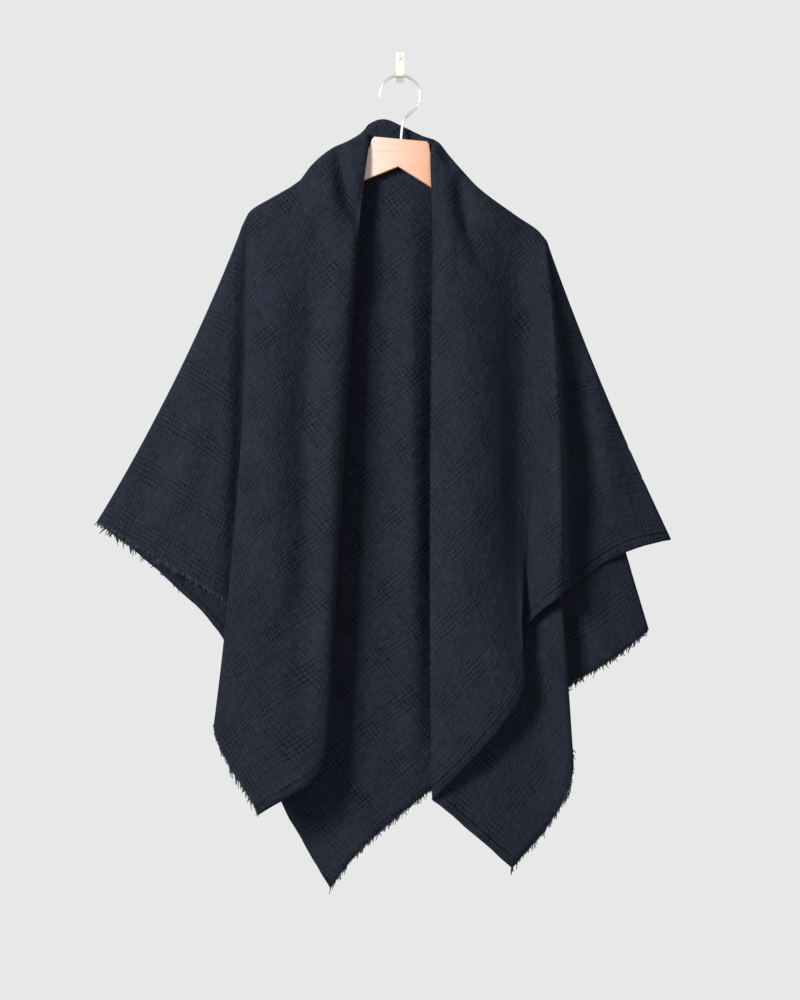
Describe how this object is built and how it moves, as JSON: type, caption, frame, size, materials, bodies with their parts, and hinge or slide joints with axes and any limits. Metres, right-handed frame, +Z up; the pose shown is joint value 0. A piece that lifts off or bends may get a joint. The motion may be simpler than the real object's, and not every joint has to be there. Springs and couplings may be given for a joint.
{
  "type": "stole on hanger",
  "caption": "Square wool stole folded corner to corner and draped over a wooden hanger, with open front, pointed hems and wide sleeve-like wings, on a wall hook.",
  "frame": {"origin": "middle of the back of the wall hook's plate, where it is fixed to the wall", "axes": "+Z up, +X to the right of someone who faces the stole, -Y out of the wall towards them"},
  "size_m": [0.7178, 0.1, 1.052],
  "materials": {
    "cloth": "matt",
    "wood": "satin",
    "wire": "polished",
    "hook": "satin"
  },
  "bodies": {
    "root": {"front_left_outer": "cloth", "front_left_inner": "cloth", "front_right_outer": "cloth", "front_right_inner": "cloth", "back_outer": "cloth", "back_inner": "cloth", "hanger_body": "wood", "hanger_hook": "wire", "wall_hook": "hook", "wall_hook_screw": "hook"}
  },
  "joints": []
}
